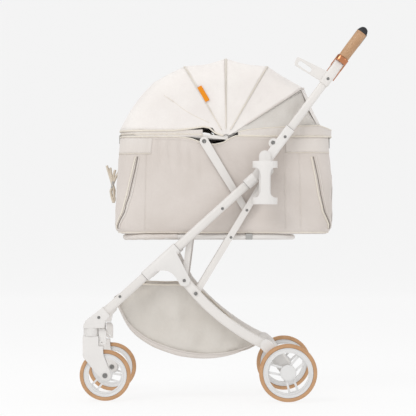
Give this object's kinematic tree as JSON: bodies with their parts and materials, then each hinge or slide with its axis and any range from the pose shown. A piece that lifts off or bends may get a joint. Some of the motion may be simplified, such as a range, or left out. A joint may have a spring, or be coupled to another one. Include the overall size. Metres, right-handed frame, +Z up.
{
  "type": "pet stroller",
  "caption": "Pet stroller with a soft cabin, folding hood, swivelling front casters, lower basket, cup holder and a folding handle with leather grips.",
  "frame": {"origin": "on the floor, under the middle of the whole object's box", "axes": "-X forwards, +X towards the handle, +Y to the right-hand side, +Z up"},
  "size_m": [0.7952, 0.5106, 1.0299],
  "materials": {
    "frame_paint": "satin powder coat",
    "moulded_white": "fine matt moulding",
    "wheel_white": "satin moulding",
    "tyre_tan": "matt foam rubber",
    "cloth": "woven polyester",
    "hood_cloth": "woven polyester",
    "mesh_cloth": "open mesh",
    "basket_cloth": "woven polyester",
    "tan_leather": "stitched leather",
    "rose_gold": "polished copper-coloured plating",
    "soft_black": "soft-touch moulding"
  },
  "bodies": {
    "frame": {"main_tube_left": "frame_paint", "main_tube_right": "frame_paint", "frame_hub_left": "moulded_white", "frame_hub_right": "moulded_white", "front_head_left": "moulded_white", "front_head_right": "moulded_white", "strut_left": "frame_paint", "strut_right": "frame_paint", "rim_arm_left": "frame_paint", "rim_arm_right": "frame_paint", "lower_hinge_left": "moulded_white", "lower_hinge_right": "moulded_white", "front_cross_tube": "frame_paint", "base_ring": "frame_paint", "cabin_rim": "frame_paint", "cabin": "cloth", "floor_pad": "cloth", "cup_holder": "moulded_white", "storage_basket": "basket_cloth", "hood_hoop_5": "frame_paint", "hood_rear_panel": "mesh_cloth", "front_strap": "cloth"},
    "handle": {"handle_tube_left": "frame_paint", "handle_tube_right": "frame_paint", "upper_hinge_left": "moulded_white", "upper_hinge_right": "moulded_white", "grip_collar_left": "rose_gold", "grip_collar_right": "rose_gold", "grip_left": "tan_leather", "grip_right": "tan_leather", "hook_plate": "frame_paint", "cross_bar": "soft_black"},
    "fold_button": {"fold_button": "soft_black"},
    "rear_legs": {"rear_leg_left": "frame_paint", "rear_leg_right": "frame_paint", "wheel_housing_left": "moulded_white", "wheel_housing_right": "moulded_white", "rear_cross_tube": "frame_paint"},
    "brake_pedal": {"brake_pedal": "moulded_white"},
    "rear_wheel_left": {"rear_tyre_left": "tyre_tan", "rear_wheel_left": "wheel_white"},
    "caster_left": {"caster_fork_left": "moulded_white"},
    "front_wheel_left": {"front_tyre_left": "tyre_tan", "front_wheel_left": "wheel_white"},
    "swivel_lock_left": {"swivel_lock_left": "moulded_white"},
    "rear_wheel_right": {"rear_tyre_right": "tyre_tan", "rear_wheel_right": "wheel_white"},
    "caster_right": {"caster_fork_right": "moulded_white"},
    "front_wheel_right": {"front_tyre_right": "tyre_tan", "front_wheel_right": "wheel_white"},
    "swivel_lock_right": {"swivel_lock_right": "moulded_white"},
    "hood_front": {"hood_hoop_1": "frame_paint", "hood_gore_1": "hood_cloth"},
    "hood_second": {"hood_hoop_2": "frame_paint", "hood_gore_2": "hood_cloth"},
    "hood_third": {"hood_hoop_3": "frame_paint", "hood_gore_3": "hood_cloth"},
    "hood_fourth": {"hood_hoop_4": "frame_paint", "hood_gore_4": "hood_cloth"}
  },
  "joints": [
    {"name": "handle_fold", "type": "hinge", "parent": "frame", "child": "handle", "pos_m": [0.11101, 0.01925, 0.6544], "axis": [0, -1, 0], "range_deg": [0, 120]},
    {"name": "leg_fold", "type": "hinge", "parent": "frame", "child": "rear_legs", "pos_m": [-0.07998, 0.01925, 0.2934], "axis": [0, 1, 0], "range_deg": [0, 75]},
    {"name": "fold_button_press", "type": "slide", "parent": "handle", "child": "fold_button", "axis": [-0.599, 0, -0.8007], "range_m": [0, 0.004], "stiffness_N_per_m": 150, "springref_m": -0.004},
    {"name": "brake_pedal_press", "type": "hinge", "parent": "rear_legs", "child": "brake_pedal", "pos_m": [0.12592, 0.01925, 0.14], "axis": [0, 1, 0], "range_deg": [0, 20]},
    {"name": "hood_fourth_fold", "type": "hinge", "parent": "frame", "child": "hood_fourth", "pos_m": [0.00242, 0.01925, 0.72], "axis": [0, 1, 0], "range_deg": [0, 19], "deforming": ["hood_gore_4"]},
    {"name": "hood_third_fold", "type": "hinge", "parent": "hood_fourth", "child": "hood_third", "pos_m": [0.00242, 0.01925, 0.72], "axis": [0, 1, 0], "range_deg": [0, 22], "deforming": ["hood_gore_3"]},
    {"name": "hood_second_fold", "type": "hinge", "parent": "hood_third", "child": "hood_second", "pos_m": [0.00242, 0.01925, 0.72], "axis": [0, 1, 0], "range_deg": [0, 22], "deforming": ["hood_gore_2"]},
    {"name": "hood_front_fold", "type": "hinge", "parent": "hood_second", "child": "hood_front", "pos_m": [0.00242, 0.01925, 0.72], "axis": [0, 1, 0], "range_deg": [0, 48], "deforming": ["hood_gore_1"]},
    {"name": "rear_wheel_spin_left", "type": "hinge", "parent": "rear_legs", "child": "rear_wheel_left", "pos_m": [0.17092, -0.20575, 0.079], "axis": [0, 1, 0], "continuous": true},
    {"name": "caster_swivel_left", "type": "hinge", "parent": "frame", "child": "caster_left", "pos_m": [-0.36658, -0.16475, 0.177], "axis": [0, 0, 1], "continuous": true},
    {"name": "front_wheel_spin_left", "type": "hinge", "parent": "caster_left", "child": "front_wheel_left", "pos_m": [-0.32758, -0.16475, 0.07], "axis": [0, 1, 0], "continuous": true},
    {"name": "swivel_lock_flip_left", "type": "hinge", "parent": "caster_left", "child": "swivel_lock_left", "pos_m": [-0.33508, -0.16475, 0.16], "axis": [0, 1, 0], "range_deg": [0, 20]},
    {"name": "rear_wheel_spin_right", "type": "hinge", "parent": "rear_legs", "child": "rear_wheel_right", "pos_m": [0.17092, 0.24425, 0.079], "axis": [0, 1, 0], "continuous": true},
    {"name": "caster_swivel_right", "type": "hinge", "parent": "frame", "child": "caster_right", "pos_m": [-0.36658, 0.20325, 0.177], "axis": [0, 0, 1], "continuous": true},
    {"name": "front_wheel_spin_right", "type": "hinge", "parent": "caster_right", "child": "front_wheel_right", "pos_m": [-0.32758, 0.20325, 0.07], "axis": [0, 1, 0], "continuous": true},
    {"name": "swivel_lock_flip_right", "type": "hinge", "parent": "caster_right", "child": "swivel_lock_right", "pos_m": [-0.33508, 0.20325, 0.16], "axis": [0, 1, 0], "range_deg": [0, 20]}
  ],
  "couplings": [
    {"joint": "leg_fold", "follows": "handle_fold", "ratio": 0.625},
    {"joint": "hood_fourth_fold", "follows": "hood_front_fold", "ratio": 0.3958},
    {"joint": "hood_third_fold", "follows": "hood_front_fold", "ratio": 0.4583},
    {"joint": "hood_second_fold", "follows": "hood_front_fold", "ratio": 0.4583}
  ]
}
